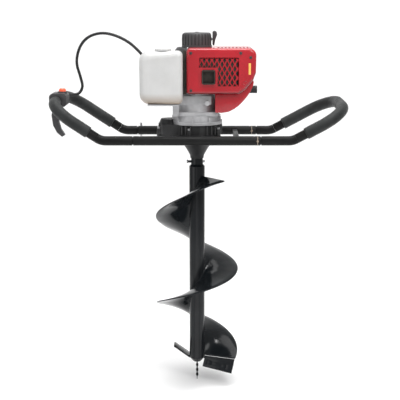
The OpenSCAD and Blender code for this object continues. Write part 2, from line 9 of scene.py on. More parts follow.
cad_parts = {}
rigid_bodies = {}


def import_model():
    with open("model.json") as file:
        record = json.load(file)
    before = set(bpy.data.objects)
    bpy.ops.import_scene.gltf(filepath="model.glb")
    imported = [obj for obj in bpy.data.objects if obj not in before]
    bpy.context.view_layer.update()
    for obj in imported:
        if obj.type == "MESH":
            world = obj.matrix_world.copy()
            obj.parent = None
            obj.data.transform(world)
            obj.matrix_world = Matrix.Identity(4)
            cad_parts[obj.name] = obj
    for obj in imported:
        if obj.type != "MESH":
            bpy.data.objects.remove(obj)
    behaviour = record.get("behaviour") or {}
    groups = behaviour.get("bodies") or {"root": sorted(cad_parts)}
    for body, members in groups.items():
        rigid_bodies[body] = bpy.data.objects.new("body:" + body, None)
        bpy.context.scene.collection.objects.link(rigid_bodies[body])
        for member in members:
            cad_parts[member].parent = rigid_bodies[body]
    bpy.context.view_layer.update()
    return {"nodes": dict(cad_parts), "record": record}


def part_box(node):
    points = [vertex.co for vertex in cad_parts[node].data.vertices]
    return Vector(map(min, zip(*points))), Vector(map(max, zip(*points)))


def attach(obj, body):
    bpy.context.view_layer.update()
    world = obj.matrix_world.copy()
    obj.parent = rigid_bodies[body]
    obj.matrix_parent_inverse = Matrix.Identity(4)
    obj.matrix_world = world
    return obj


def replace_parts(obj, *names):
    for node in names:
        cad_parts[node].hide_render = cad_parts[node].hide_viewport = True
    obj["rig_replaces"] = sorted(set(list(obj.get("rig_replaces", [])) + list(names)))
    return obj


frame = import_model()
nodes = frame["nodes"]

# ---------- camera ----------
RAIL_Z = sum(p.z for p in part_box("front_rail")) / 2
CAM_DISTANCE = 2.4
CAM_PITCH = math.radians(11.4)
CAM_AIM = Vector((0.0073, 0.0, RAIL_Z - 0.160))
CAM_FIELD = 0.982          # metres across the picture at the drive axis
SENSOR = 36.0

cam_data = bpy.data.cameras.new("camera")
cam = bpy.data.objects.new("camera", cam_data)
bpy.context.scene.collection.objects.link(cam)
cam_data.sensor_width = SENSOR
cam_data.lens = SENSOR * CAM_DISTANCE / CAM_FIELD
cam.location = CAM_AIM + CAM_DISTANCE * Vector((0.0, -math.cos(CAM_PITCH), math.sin(CAM_PITCH)))
cam.rotation_euler = (math.pi / 2 - CAM_PITCH, 0.0, 0.0)
bpy.context.scene.camera = cam


# ---------- materials ----------
NOISE_ROUGHNESS = 0.55
EDGE_WEAR = 0.5                    # how much of the rubbed colour the sharpest edges show
EDGE_POINTINESS = (0.53, 0.62)     # where on the pointiness scale the rubbing starts and is full
COAT_ROUGHNESS = 0.08


def shader(name):
    m = bpy.data.materials.new(name)
    m.use_nodes = True
    return m, m.node_tree.nodes, m.node_tree.links, m.node_tree.nodes["Principled BSDF"]


def noise(nt, links, coord, scale, detail=4.0):
    n = nt.new("ShaderNodeTexNoise")
    n.inputs["Scale"].default_value = scale
    n.inputs["Detail"].default_value = detail
    n.inputs["Roughness"].default_value = NOISE_ROUGHNESS
    links.new(coord, n.inputs["Vector"])
    return n.outputs["Fac"]


def ramp(nt, links, fac, stops):
    r = nt.new("ShaderNodeValToRGB")
    links.new(fac, r.inputs["Fac"])
    while len(r.color_ramp.elements) < len(stops):
        r.color_ramp.elements.new(0.5)
    for e, (pos, col) in zip(r.color_ramp.elements, stops):
        e.position = pos
        e.color = (*col, 1.0)
    return r.outputs["Color"]


def remap(nt, links, fac, low, high, a=0.3, b=0.7):
    m = nt.new("ShaderNodeMapRange")
    links.new(fac, m.inputs["Value"])
    m.inputs["From Min"].default_value = a
    m.inputs["From Max"].default_value = b
    m.inputs["To Min"].default_value = low
    m.inputs["To Max"].default_value = high
    return m.outputs["Result"]


def mix(nt, links, fac, a, b):
    m = nt.new("ShaderNodeMix")
    m.data_type = "RGBA"
    links.new(fac, m.inputs["Factor"])
    for sock, v in ((m.inputs["A"], a), (m.inputs["B"], b)):
        if isinstance(v, tuple):
            sock.default_value = (*v, 1.0)
        else:
            links.new(v, sock)
    return m.outputs["Result"]


def bump(nt, links, height, strength, distance, normal=None):
    b = nt.new("ShaderNodeBump")
    b.inputs["Strength"].default_value = strength
    b.inputs["Distance"].default_value = distance
    links.new(height, b.inputs["Height"])
    if normal is not None:
        links.new(normal, b.inputs["Normal"])
    return b.outputs["Normal"]


def coords(nt):
    return nt.new("ShaderNodeTexCoord").outputs["Object"]


def worn_paint(name, dark, light, edge, rough, grain, grain_depth, coat=0.0, spec=0.3):
    """Painted or moulded surface: tone variation, fine grain, rubbed edges, uneven gloss."""
    m, nt, links, p = shader(name)
    c = coords(nt)
    tone = ramp(nt, links, noise(nt, links, c, 14.0), [(0.3, dark), (0.7, light)])
    geo = nt.new("ShaderNodeNewGeometry")
    rubbed = remap(nt, links, geo.outputs["Pointiness"], 0.0, EDGE_WEAR, *EDGE_POINTINESS)
    links.new(mix(nt, links, rubbed, tone, edge), p.inputs["Base Color"])
    links.new(remap(nt, links, noise(nt, links, c, 60.0, 6.0), *rough), p.inputs["Roughness"])
    fine = bump(nt, links, noise(nt, links, c, grain, 3.0), 0.5, grain_depth)
    wave = bump(nt, links, noise(nt, links, c, 35.0, 2.0), 0.35, grain_depth * 3.0, fine)
    links.new(wave, p.inputs["Normal"])
    p.inputs["Coat Weight"].default_value = coat
    p.inputs["Specular IOR Level"].default_value = spec
    p.inputs["Coat Roughness"].default_value = COAT_ROUGHNESS
    return m


def foam_material():
    """Closed-cell foam: small cells, soft creases and a low sheen."""
    m, nt, links, p = shader("foam")
    c = coords(nt)
    tone = ramp(nt, links, noise(nt, links, c, 30.0, 5.0),
                [(0.3, (0.010, 0.011, 0.011)), (0.75, (0.020, 0.022, 0.022))])
    links.new(tone, p.inputs["Base Color"])
    cell = nt.new("ShaderNodeTexVoronoi")
    cell.inputs["Scale"].default_value = 1100.0
    links.new(c, cell.inputs["Vector"])
    fine = bump(nt, links, cell.outputs["Distance"], 0.35, 0.0004)
    crease = bump(nt, links, noise(nt, links, c, 45.0, 3.0), 0.4, 0.0012, fine)
    links.new(crease, p.inputs["Normal"])
    links.new(remap(nt, links, noise(nt, links, c, 80.0), 0.42, 0.62), p.inputs["Roughness"])
    p.inputs["Sheen Weight"].default_value = 0.06
    p.inputs["Specular IOR Level"].default_value = 0.22
    return m


def tank_material(z_low, z_high):
    """Translucent white plastic that is darker from z_high down to z_low, where fuel shows through."""
    m, nt, links, p = shader("tank_plastic")
    c = coords(nt)
    xyz = nt.new("ShaderNodeSeparateXYZ")
    links.new(c, xyz.inputs["Vector"])
    depth = remap(nt, links, xyz.outputs["Z"], 1.0, 0.0, z_low, z_high)
    cloud = noise(nt, links, c, 22.0, 3.0)
    base = ramp(nt, links, cloud, [(0.3, (0.50, 0.50, 0.495)), (0.7, (0.56, 0.56, 0.555))])
    links.new(mix(nt, links, depth, base, (0.30, 0.23, 0.17)), p.inputs["Base Color"])
    links.new(remap(nt, links, noise(nt, links, c, 90.0), 0.32, 0.45), p.inputs["Roughness"])
    links.new(bump(nt, links, noise(nt, links, c, 420.0, 3.0), 0.25, 0.0003), p.inputs["Normal"])
    p.inputs["Subsurface Weight"].default_value = 0.35
    p.inputs["Subsurface Radius"].default_value = (0.012, 0.011, 0.01)
    p.inputs["Subsurface Scale"].default_value = 1.0
    return m


def metal_material(name, dark, light, rough, grain, depth, metallic=1.0):
    """Bare or stained metal with a mottled tone and a fine grain."""
    m, nt, links, p = shader(name)
    c = coords(nt)
    tone = ramp(nt, links, noise(nt, links, c, 40.0, 5.0), [(0.3, dark), (0.7, light)])
    links.new(tone, p.inputs["Base Color"])
    links.new(remap(nt, links, noise(nt, links, c, 120.0), *rough), p.inputs["Roughness"])
    links.new(bump(nt, links, noise(nt, links, c, grain), 0.4, depth), p.inputs["Normal"])
    p.inputs["Metallic"].default_value = metallic
    return m


def shade_underside(m, amount):
    """Painted shade: darker tone on faces that look down."""
    nt = m.node_tree.nodes
    links = m.node_tree.links
    p = next(n for n in nt if n.type == "BSDF_PRINCIPLED")
    source = p.inputs["Base Color"].links[0].from_socket
    geo = nt.new("ShaderNodeNewGeometry")
    xyz = nt.new("ShaderNodeSeparateXYZ")
    links.new(geo.outputs["True Normal"], xyz.inputs["Vector"])
    # painted shade: dark red mixed in where the face's normal points down
    under = remap(nt, links, xyz.outputs["Z"], amount, 0.0, -0.75, -0.05)
    links.new(mix(nt, links, under, source, (0.06, 0.002, 0.004)), p.inputs["Base Color"])


TANK_LEVEL = (0.708, 0.735)        # heights between which the tank turns from dark to white

MATS = {
    "frame_paint": worn_paint("frame_paint", (0.006, 0.006, 0.006), (0.012, 0.012, 0.012),
                              (0.03, 0.03, 0.03), (0.30, 0.44), 900.0, 0.00015, spec=0.10),
    "foam": foam_material(),
    "case_paint": worn_paint("case_paint", (0.014, 0.014, 0.015), (0.030, 0.030, 0.031),
                             (0.08, 0.08, 0.08), (0.38, 0.55), 500.0, 0.0003, spec=0.2),
    "patch_yellow": worn_paint("patch_yellow", (0.72, 0.24, 0.02), (0.85, 0.42, 0.04),
                               (0.9, 0.6, 0.2), (0.3, 0.4), 700.0, 0.0001),
    "steel": metal_material("steel", (0.42, 0.42, 0.43), (0.6, 0.6, 0.61), (0.22, 0.38), 300.0, 0.0001),
    "alloy": metal_material("alloy", (0.36, 0.36, 0.37), (0.52, 0.52, 0.53), (0.42, 0.6), 650.0, 0.0004,
                            metallic=0.55),
    "shroud_red": worn_paint("shroud_red", (0.33, 0.003, 0.010), (0.40, 0.005, 0.014),
                             (0.48, 0.02, 0.03), (0.14, 0.24), 700.0, 0.00006, coat=0.35, spec=0.45),
    "dark_plastic": worn_paint("dark_plastic", (0.030, 0.029, 0.031), (0.052, 0.051, 0.053),
                               (0.10, 0.10, 0.10), (0.36, 0.52), 800.0, 0.0003),
    "black_rubber": worn_paint("black_rubber", (0.010, 0.010, 0.011), (0.020, 0.020, 0.021),
                               (0.04, 0.04, 0.04), (0.42, 0.6), 600.0, 0.0003),
    "muffler_steel": metal_material("muffler_steel", (0.03, 0.028, 0.026), (0.07, 0.06, 0.05),
                                    (0.5, 0.75), 400.0, 0.0004, metallic=0.6),
    "tank_white": tank_material(*TANK_LEVEL),
    "bit_paint": worn_paint("bit_paint", (0.004, 0.005, 0.006), (0.010, 0.012, 0.014),
                            (0.03, 0.03, 0.032), (0.10, 0.2), 400.0, 0.0001, coat=0.06, spec=0.16),
    "button_orange": worn_paint("button_orange", (0.78, 0.08, 0.03), (0.86, 0.11, 0.04),
                                (0.9, 0.3, 0.2), (0.25, 0.35), 700.0, 0.0001),
    "rope_cord": worn_paint("rope_cord", (0.5, 0.5, 0.46), (0.7, 0.7, 0.65), (0.8, 0.8, 0.75),
                            (0.6, 0.8), 1500.0, 0.0006),
}
# painted shade on the shroud's downward faces
shade_underside(MATS["shroud_red"], 0.85)

# ---------- pieces ----------
MM = 0.001
LOOK = {"cutter_bolts": "bit_paint"}          # steel in the record, shown painted like the cutters
SLOT_OF = {s["node"]: s["material_slot"] for s in frame["record"]["subparts"]}
BODY_OF = {n: b for b, names in frame["record"]["behaviour"]["bodies"].items() for n in names}
# nodes inside the casings or barely seen, which are shown as they come from CAD
HIDDEN = {"bearings", "piston", "clutch_drum", "countershaft", "output_gear", "clutch_rotor", "starter_rope",
          "recoil_pulley", "crankshaft", "flywheel", "gearbox_bolts", "spark_plug"}


def paint(obj, slot_name):
    obj.data.materials.clear()
    obj.data.materials.append(MATS[slot_name])


def finish_piece(name, bm, slot_name, body, replaced=(), sharp=34.0):
    """Turn a bmesh into a shaded piece that rides a body and stands for CAD nodes."""
    mesh = bpy.data.meshes.new(name)
    bmesh.ops.recalc_face_normals(bm, faces=bm.faces)
    bm.to_mesh(mesh)
    bm.free()
    for poly in mesh.polygons:
        poly.use_smooth = True
    mesh.set_sharp_from_angle(angle=math.radians(sharp))
    obj = bpy.data.objects.new(name, mesh)
    bpy.context.scene.collection.objects.link(obj)
    paint(obj, slot_name)
    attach(obj, body)
    if replaced:
        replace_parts(obj, *replaced)
    return obj


WELD = 2e-6                        # points nearer than this are one point, in metres
SHORTEST = 0.4                     # edges shorter than this are left sharp, in millimetres


def edge_angle(e):
    return e.calc_face_angle(0.0) if len(e.link_faces) == 2 else 0.0


def soften(node, width=0.6, sharp=34.0):
    """Copy of a CAD node with its hard edges rounded."""
    bm = bmesh.new()
    bm.from_mesh(nodes[node].data)
    bmesh.ops.remove_doubles(bm, verts=bm.verts, dist=WELD)
    bmesh.ops.dissolve_limit(bm, angle_limit=math.radians(0.4), verts=bm.verts, edges=bm.edges)
    hard = [e for e in bm.edges if edge_angle(e) > math.radians(sharp) and e.calc_length() > SHORTEST * MM]
    if hard and width:
        bmesh.ops.bevel(bm, geom=hard, offset=width * MM, segments=2, profile=0.5, affect="EDGES",
                        clamp_overlap=True)
    bmesh.ops.triangulate(bm, faces=[f for f in bm.faces if len(f.verts) > 4])
    skin = finish_piece(node + "_skin", bm, SLOT_OF[node], BODY_OF[node], (node,), sharp)
    if node in LOOK:
        paint(skin, LOOK[node])


def join_rings(bm, rings, closed=False):
    """Faces between neighbouring rings of points; the end rings are filled, or joined if closed."""
    n = len(rings[0])
    following = rings[1:] + rings[:1] if closed else rings[1:]
    for low, high in zip(rings, following):
        for k in range(n):
            bm.faces.new((low[k], low[(k + 1) % n], high[(k + 1) % n], high[k]))
    if not closed:
        bm.faces.new(rings[0][::-1])
        bm.faces.new(rings[-1])


def sweep(bm, path, sides, radius):
    """Tube along a path; radius(t, angle) with t from 0 to 1 along it."""
    rings = []
    side = Vector((0.0, 0.0, 1.0))
    last = len(path) - 1
    for i, p in enumerate(path):
        along = (path[min(i + 1, last)] - path[max(i - 1, 0)]).normalized()
        side = (side - along * side.dot(along)).normalized()
        other = along.cross(side)
        ring = []
        for k in range(sides):
            a = 2 * math.pi * k / sides
            ring.append(bm.verts.new(p + radius(i / last, a) * (math.cos(a) * side + math.sin(a) * other)))
        rings.append(ring)
    join_rings(bm, rings)


def lathe(bm, profile, centre, sides, closed=False):
    """Solid of revolution about a vertical axis, from (radius, height) pairs in millimetres."""
    x, y, z = centre
    rings = []
    for r, h in profile:
        angles = [2 * math.pi * k / sides for k in range(sides)]
        rings.append([bm.verts.new((x + MM * r * math.cos(a), y + MM * r * math.sin(a), z + MM * h))
                      for a in angles])
    join_rings(bm, rings, closed)


# ---------- foam grips ----------
RAIL_Y = abs(sum(p.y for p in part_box("front_rail"))) / 2
FOAM_R = 14.0
BEND_X, BEND_R = 223.0, 40.0       # where the rails bend up, and the radius of that bend
LAG = 33.0                         # the rear leg is this much longer: its bend lies nearer the middle
FOAM_U = 34.0                      # where the foam starts, along the leg
# tangent length of the bend, length of the straight leg, radius of the loop's corners
HANDLES = {"right": (10.0, 72.0, 70.0), "left": (12.0, 77.0, 63.0)}
LEG_STEPS, TURN_STEPS, CROSS_STEPS, FAR_STEPS = 16, 18, 14, 22
HOUSING_HALF = 30.0 * MM           # half of the gap in the left foam, for the throttle housing

FOAM_STEP = 1.6                    # length of one row of faces
FOAM_SIDES = 40
FOAM_SHRINK = 0.15                 # the foam stays this far inside its CAD node
END_ROUND = 2.2
WAVE_HEIGHT = 0.035
WAVE_COUNT = 7
WAVE_TURN = 6.28                   # about one full turn, in radians


def loop_path(half_bend, leg, curve, side):
    """Centre line of a handle loop from the front foam end to the rear one, and its middle."""
    slope = 2 * math.atan(half_bend / BEND_R)
    skew = LAG / math.cos(slope)
    along = Vector((math.cos(slope), 0.0, math.sin(slope)))
    front = Vector((BEND_X, -RAIL_Y / MM, RAIL_Z / MM))
    rear = Vector((BEND_X - skew, RAIL_Y / MM, RAIL_Z / MM))
    across = rear - front
    across -= along * across.dot(along)
    span = across.length
    across.normalize()
    far = leg + LAG

    def corner(start, reach, inward, share):
        q = math.pi / 2 * share
        return start + along * (reach + curve * math.sin(q)) + inward * (curve - curve * math.cos(q))

    pts = [front + along * (FOAM_U + (leg - FOAM_U) * k / LEG_STEPS) for k in range(LEG_STEPS)]
    pts += [corner(front, leg, across, k / TURN_STEPS) for k in range(TURN_STEPS + 1)]
    middle = len(pts) + CROSS_STEPS // 2 - 1
    pts += [front + along * (leg + curve) + across * (curve + (span - 2 * curve) * k / CROSS_STEPS)
            for k in range(1, CROSS_STEPS)]
    pts += [corner(rear, far, -across, 1 - k / TURN_STEPS) for k in range(TURN_STEPS + 1)]
    pts += [rear + along * (far + (FOAM_U - far) * k / FAR_STEPS) for k in range(1, FAR_STEPS + 1)]
    return [Vector((side * p.x, p.y, p.z)) * MM for p in pts], middle


def resample(path, step):
    """The same path with its points one step apart."""
    out = [path[0]]
    need = step
    for a, b in zip(path, path[1:]):
        length = (b - a).length
        while need <= length:
            out.append(a.lerp(b, need / length))
            need += step
        need -= length
    if (out[-1] - path[-1]).length > step * 0.3:
        out.append(path[-1])
    return out


def foam_piece(name, path, node):
    """Foam sleeve with rounded ends and slow waves along it."""
    path = resample(path, FOAM_STEP * MM)
    length = sum((b - a).length for a, b in zip(path, path[1:]))
    rng = random.Random(len(name) + 5)
    waves = [(rng.uniform(20, 160), rng.uniform(0, WAVE_TURN), rng.randint(1, 3)) for _ in range(WAVE_COUNT)]

    def radius(t, a):
        from_end = min(t, 1 - t) * length / MM
        r = FOAM_R - FOAM_SHRINK
        if from_end < END_ROUND:
            r -= END_ROUND - math.sqrt(max(0.0, END_ROUND ** 2 - (END_ROUND - from_end) ** 2))
        for rate, shift, lobes in waves:
            r += WAVE_HEIGHT * math.sin(rate * t * length * WAVE_TURN + shift + lobes * a)
        return r * MM

    bm = bmesh.new()
    sweep(bm, path, FOAM_SIDES, radius)
    finish_piece(name, bm, "foam", "head", (node,), 60.0)


right_path, _ = loop_path(*HANDLES["right"], 1)
foam_piece("right_foam", right_path, "right_grip")
left_path, left_mid = loop_path(*HANDLES["left"], -1)
centre = left_path[left_mid]
left_front = [p for p in left_path[:left_mid] if (p - centre).length > HOUSING_HALF]
left_rear = [p for p in left_path[left_mid:] if (p - centre).length > HOUSING_HALF]
foam_piece("left_foam_front", left_front, "left_grip")
foam_piece("left_foam_rear", left_rear, "left_grip")

# ---------- bit ----------
BIT_R = (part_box("bit_tube")[1].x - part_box("bit_tube")[0].x) / 2 / MM
FLIGHT_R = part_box("bit_flight")[1].x / MM
FLIGHT_Z, FLIGHT_PITCH, FLIGHT_T = 80.0, 246.0, 3.4
FLIGHT_A0, FLIGHT_A1, FLIGHT_STEP = -20.0, 670.0, 2.5
# taken off an even rise: how much at most, at which angle, and over how many degrees to each side
DIP, DIP_AT, DIP_WIDTH = 50.0, 440.0, 130.0
EASE, EASE_AT, EASE_WIDTH = 18.0, 690.0, 30.0
WEB_STEPS = 6                      # faces across the plate
RIM_WIDTH = 1.2


def rise(a):
    """Height of the flight's lower face at an angle in degrees; uneven, to follow the photo."""
    dip = DIP * math.exp(-((a - DIP_AT) / DIP_WIDTH) ** 2)
    ease = EASE * math.exp(-((a - EASE_AT) / EASE_WIDTH) ** 2)
    return FLIGHT_Z + FLIGHT_PITCH * a / 360 - (dip + ease)


def flight_section(bead, waver):
    """(radius, height) around the plate: bead, lower face, rounded rim, upper face, bead."""
    inner = BIT_R - 0.2
    toe = BIT_R + bead
    web = [(toe + (FLIGHT_R - BIT_R - bead - RIM_WIDTH) * k / WEB_STEPS, waver * k / (2 * WEB_STEPS))
           for k in range(1, WEB_STEPS + 1)]
    section = [(inner, -bead), (BIT_R + bead * 0.5, -bead * 0.45), (toe, 0.0)]
    section += web
    section += [(FLIGHT_R - 0.4, 0.5), (FLIGHT_R, 1.3), (FLIGHT_R, 2.1), (FLIGHT_R - 0.4, 2.9)]
    section += [(r, FLIGHT_T + h) for r, h in reversed(web)]
    section += [(toe, FLIGHT_T), (BIT_R + bead * 0.5, FLIGHT_T + bead * 0.45), (inner, FLIGHT_T + bead)]
    return section


def flight():
    """Helical plate with a rounded rim and a rough weld bead along the tube."""
    bm = bmesh.new()
    rng = random.Random(11)
    count = int((FLIGHT_A1 - FLIGHT_A0) / FLIGHT_STEP)
    rows = []
    for i in range(count + 1):
        a = FLIGHT_A0 + (FLIGHT_A1 - FLIGHT_A0) * i / count
        ca, sa, z = math.cos(math.radians(a)), math.sin(math.radians(a)), rise(a)
        bead = 1.9 + 0.5 * rng.random()
        waver = 0.25 * math.sin(a * 0.11) + 0.15 * math.sin(a * 0.31)
        rows.append([bm.verts.new((MM * r * ca, MM * r * sa, MM * (z + h)))
                     for r, h in flight_section(bead, waver)])
    join_rings(bm, rows)
    finish_piece("flight_plate", bm, "bit_paint", "bit", ("bit_flight",), 42.0)


flight()

PILOT_TOP, PILOT_ROWS, PILOT_SIDES = 56.0, 56, 20
PILOT_HALF_WIDTH, PILOT_HALF_THICK = 3.25, 1.7
PILOT_COLLAR_Z, PILOT_COLLAR = 46, 0.9      # above this height it is thicker by this much each side
PILOT_TWIST = 14                            # degrees for each millimetre of height


def pilot():
    """Twisted starting point with two lands."""
    bm = bmesh.new()
    rows = []
    for i in range(PILOT_ROWS + 1):
        z = PILOT_TOP * i / PILOT_ROWS
        grow = min(1.0, 0.16 + z / 14)
        half_thick = PILOT_HALF_THICK + PILOT_COLLAR * (z > PILOT_COLLAR_Z)
        twist = Matrix.Rotation(math.radians(z * PILOT_TWIST), 2)
        row = []
        for k in range(PILOT_SIDES):
            a = 2 * math.pi * k / PILOT_SIDES
            p = twist @ Vector((PILOT_HALF_WIDTH * grow * math.cos(a), half_thick * grow * math.sin(a)))
            row.append(bm.verts.new(MM * Vector((p.x, p.y, z))))
        rows.append(row)
    join_rings(bm, rows)
    finish_piece("pilot_twist", bm, "bit_paint", "bit", ("pilot_point",), 50.0)


pilot()

# ---------- tank ----------
TANK_ROUND_LEFT, TANK_ROUND_RIGHT = 23 * MM, 12 * MM
TANK_CUTS = 24
SEAM_HEIGHT, SEAM_WIDTH, SEAM_Y = 0.5 * MM, 1.1 * MM, 0.004
# radius and height above the tank's top, around the filler neck
NECK = [(14.6, -18), (14.6, 2.8), (12.4, 2.8), (12.4, -14)]
NECK_X, NECK_Y = -78 * MM, -76 * MM


def rounded_box(bm, low, high):
    """Box with all its edges rounded, more at the left, and a raised seam line around it."""
    mid, half = (low + high) / 2, (high - low) / 2
    made = bmesh.ops.create_cube(bm, size=2.0)["verts"]
    bmesh.ops.subdivide_edges(bm, edges=list({e for v in made for e in v.link_edges}), cuts=TANK_CUTS * 2,
                              use_grid_fill=True)
    for v in bm.verts:
        t = (v.co.x + 1) / 2
        r = TANK_ROUND_LEFT + (TANK_ROUND_RIGHT - TANK_ROUND_LEFT) * t * t * (3 - 2 * t)
        core = half - Vector((r, r, r))
        q = Vector([c * h for c, h in zip(v.co, half)])
        inner = Vector([max(-c, min(c, x)) for c, x in zip(core, q)])
        off = q - inner
        p = inner + off.normalized() * r if off.length > 1e-9 else q
        lift = SEAM_HEIGHT * math.exp(-((p.y - SEAM_Y) / SEAM_WIDTH) ** 2)
        v.co = mid + p + (Vector((p.x, 0, p.z)).normalized() * lift if lift > 1e-6 else Vector())


tank_low, tank_high = (Vector(p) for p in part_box("fuel_tank"))
tank_top = tank_high.z - 3 * MM                 # the neck stands above the tank's own top
bm = bmesh.new()
rounded_box(bm, tank_low, Vector((tank_high.x, tank_high.y, tank_top)))
lathe(bm, NECK, (NECK_X, NECK_Y, tank_top), 32)
finish_piece("tank_shell", bm, "tank_white", "head", ("fuel_tank",), 40.0)

# ---------- shroud ----------
# "head" heights below are millimetres above the head's datum, which lies at HEAD_Z
HEAD_Z = RAIL_Z - 0.585
front_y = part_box("shroud")[0].y / MM
back_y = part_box("shroud")[1].y / MM
left_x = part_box("shroud")[0].x / MM
top_z = (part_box("shroud")[1].z - HEAD_Z) / MM
# corners of the front outline: x, head height, corner radius
OUTLINE = [(left_x, 691, 7), (97, 691, 10), (113, 702, 16), (131, 724, 14), (137, 741, 14), (138, top_z, 17),
           (left_x, top_z, 10)]
SHELL = 2.0
ROUND_OUTSIDE, ROUND_INSIDE = 7.5, 5.5
ROUND_STEPS, CORNER_STEPS = 7, 6
CYL_Z = 696                        # head height of the cylinder's axis
PASSAGE = [(left_x + 5, 680), (95, 680), (111, 701), (125, 719), (left_x + 5, 719)]   # open to the duct
SLOT_FIRST, SLOT_PITCH, SLOT_COUNT = 48, 8.5, 10
SLOT_SIZE, SLOT_Y, SLOT_ROUND = (4.4, 44, 12), -44, 0.0018
# holes cut through the shroud: centre, axis, radius, start and end along the axis
BORES = [((0, 0, 680), (0, 0, 1), 46.6, 0, 66),            # over the crankcase
         ((0, 0, 745), (0, 0, 1), 56, 0, 48),              # open to the fan cover
         ((0, 0, top_z - 10), (0, 0, 1), 31, 0, 20),       # air inlet under the recoil cover
         ((0, 0, CYL_Z), (1, 0, 0), 11, 104, 160),         # spark plug
         ((134, 0, CYL_Z), (0, 1, 0), 7, -6, 40)]          # plug boot
GRILLE = (5, 97, 709, 776)         # left, right, bottom and top of the window


def inset_outline(corners, d):
    """Convex outline of (x, z, corner radius) moved inward by d, with its corners rounded."""
    n = len(corners)
    lines = []
    for i in range(n):
        a, b = Vector(corners[i][:2]), Vector(corners[(i + 1) % n][:2])
        t = (b - a).normalized()
        inward = Vector((-t.y, t.x))
        lines.append((a + inward * d, t))
    pts = []
    for i in range(n):
        (p, t), (q, u) = lines[i - 1], lines[i]
        corner = p + t * (((q - p).x * u.y - (q - p).y * u.x) / (t.x * u.y - t.y * u.x))
        r = max(corners[i][2] - d, 0.4)
        cut = r * math.tan(t.angle(u) / 2)
        a, b = corner - t * cut, corner + u * cut
        middle = a + Vector((-t.y, t.x)) * r
        for k in range(CORNER_STEPS + 1):
            spoke = (a - middle).lerp(b - middle, k / CORNER_STEPS).normalized()
            pts.append(middle + spoke * r)
    return pts


def head_ring(bm, pts, y):
    """Ring of points at one depth, from (x, head height) pairs."""
    return [bm.verts.new((MM * x, MM * y, HEAD_Z + MM * z)) for x, z in pts]


def shroud_body(d, y0, y1, rounding):
    """The shroud's outline moved inward by d, as a block whose front and back edges are rounded."""
    bm = bmesh.new()
    angles = [math.pi / 2 * k / ROUND_STEPS for k in range(ROUND_STEPS + 1)]
    steps = [(rounding * (1 - math.cos(t)), d + rounding * (1 - math.sin(t))) for t in angles]
    spans = [(y0 + depth, inset) for depth, inset in steps]
    spans += [(y1 - depth, inset) for depth, inset in reversed(steps)]
    join_rings(bm, [head_ring(bm, inset_outline(OUTLINE, inset), y) for y, inset in spans])
    bmesh.ops.recalc_face_normals(bm, faces=bm.faces)
    return bm


def prism_y(pts, y0, y1):
    """Closed prism along Y from an outline of (x, head height)."""
    bm = bmesh.new()
    join_rings(bm, [head_ring(bm, pts, y) for y in (y0, y1)])
    return bm


def rect(x0, x1, z0, z1, r=3.0):
    """Outline of a rectangle with rounded corners, five points to a corner."""
    pts = []
    left, right, low, high = x0 + r, x1 - r, z0 + r, z1 - r
    for cx, cz, a0 in ((right, high, 0), (left, high, 90), (left, low, 180), (right, low, 270)):
        angles = [math.radians(a0 + 22.5 * k) for k in range(5)]
        pts += [(cx + r * math.cos(a), cz + r * math.sin(a)) for a in angles]
    return pts


def frame_y(bm, outer, inner, y0, y1):
    """Flat frame between two outlines with the same number of points."""
    join_rings(bm, [head_ring(bm, pts, y) for pts, y in ((outer, y0), (inner, y0), (inner, y1), (outer, y1))],
               closed=True)


def rod(start, axis, radius, h0, h1, sides=40):
    """Cylinder from h0 to h1 along an axis, which starts at (x, y, head height)."""
    bm = bmesh.new()
    turn = Vector((0, 0, 1)).rotation_difference(Vector(axis)).to_matrix()
    foot = Vector((start[0], start[1], 0)) * MM + Vector((0, 0, HEAD_Z + MM * start[2]))
    rings = []
    for h in (h0, h1):
        ring = []
        for k in range(sides):
            a = 2 * math.pi * k / sides
            spoke = Vector((MM * radius * math.cos(a), MM * radius * math.sin(a), MM * h))
            ring.append(bm.verts.new(foot + turn @ spoke))
        rings.append(ring)
    join_rings(bm, rings)
    return bm


def slot_block(x):
    """Block with rounded corners that cuts one slot through the shroud's top."""
    bm = bmesh.new()
    bmesh.ops.create_cube(bm, size=1.0)
    wide, deep, tall = SLOT_SIZE
    for v in bm.verts:
        v.co = Vector((MM * (x + wide / 2 + wide * v.co.x), MM * (SLOT_Y + deep * v.co.y),
                       HEAD_Z + MM * (top_z + tall * v.co.z)))
    upright = [e for e in bm.edges if abs((e.verts[0].co - e.verts[1].co).z) > 1e-4]
    bmesh.ops.bevel(bm, geom=upright, offset=SLOT_ROUND, segments=4, profile=0.5, affect="EDGES")
    return bm


def to_object(bm, name):
    """Object in millimetres, the scale at which the booleans are made."""
    mesh = bpy.data.meshes.new(name)
    bmesh.ops.remove_doubles(bm, verts=bm.verts, dist=WELD)
    bmesh.ops.recalc_face_normals(bm, faces=bm.faces)
    bmesh.ops.scale(bm, vec=Vector((1, 1, 1)) / MM, verts=bm.verts)
    bm.to_mesh(mesh)
    bm.free()
    obj = bpy.data.objects.new(name, mesh)
    bpy.context.scene.collection.objects.link(obj)
    return obj


def carve(target, cutters):
    """Boolean differences, one after another, applied to the mesh."""
    for cutter in cutters:
        mod = target.modifiers.new("cut", "BOOLEAN")
        mod.operation = "DIFFERENCE"
        mod.solver = "MANIFOLD"
        mod.object = cutter
        bpy.context.view_layer.update()
        mesh = bpy.data.meshes.new_from_object(target.evaluated_get(bpy.context.evaluated_depsgraph_get()))
        target.modifiers.clear()
        target.data = mesh
        bpy.data.objects.remove(cutter)


